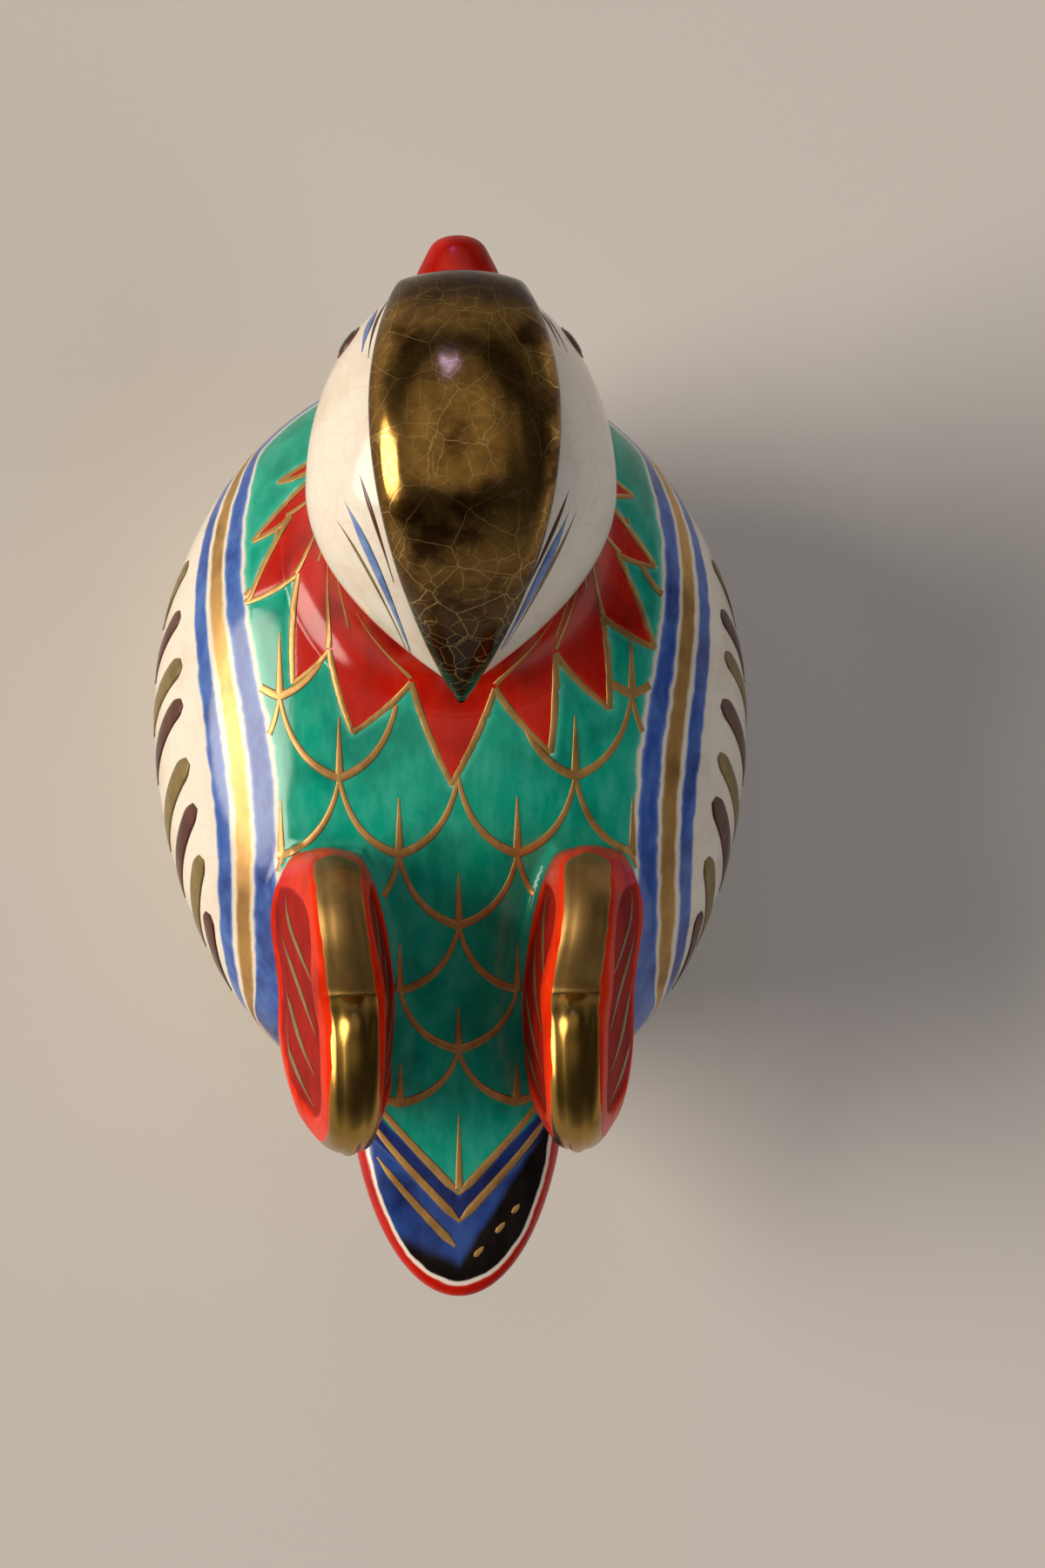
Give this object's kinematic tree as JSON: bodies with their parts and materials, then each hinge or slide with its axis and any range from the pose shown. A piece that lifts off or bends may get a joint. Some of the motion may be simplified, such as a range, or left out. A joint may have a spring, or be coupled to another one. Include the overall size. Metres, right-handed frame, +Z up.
{
  "type": "duck incense box",
  "caption": "Covered pottery incense box in the form of a sitting mandarin drake: a hollow egg-shaped body parted at its widest line, with a lift-off lid that carries head, sails and tail.",
  "frame": {"origin": "on the table, in the flat base, under the body's widest station", "axes": "+Z up, +Y towards the bill, +X to the duck's right"},
  "size_m": [0.05, 0.0832, 0.0617],
  "materials": {
    "white_glaze": "crackled cream glaze",
    "bare_clay": "unglazed",
    "green_enamel": "glossy enamel",
    "red_enamel": "glossy enamel",
    "blue_enamel": "glossy enamel",
    "black_enamel": "glossy enamel",
    "gilding": "burnished gilding on glaze"
  },
  "bodies": {
    "box": {"box_shell": "white_glaze", "seat_rim": "bare_clay"},
    "lid": {"lid_shell": "green_enamel", "neck": "red_enamel", "head": "white_glaze", "crest": "gilding", "bill": "red_enamel", "eye_left": "black_enamel", "eye_right": "black_enamel", "sail_left": "red_enamel", "sail_right": "red_enamel", "tail": "blue_enamel"}
  },
  "joints": [
    {"name": "lid_lift", "type": "slide", "parent": "box", "child": "lid", "axis": [0, 0, 1], "range_m": [0, 0.045]}
  ]
}
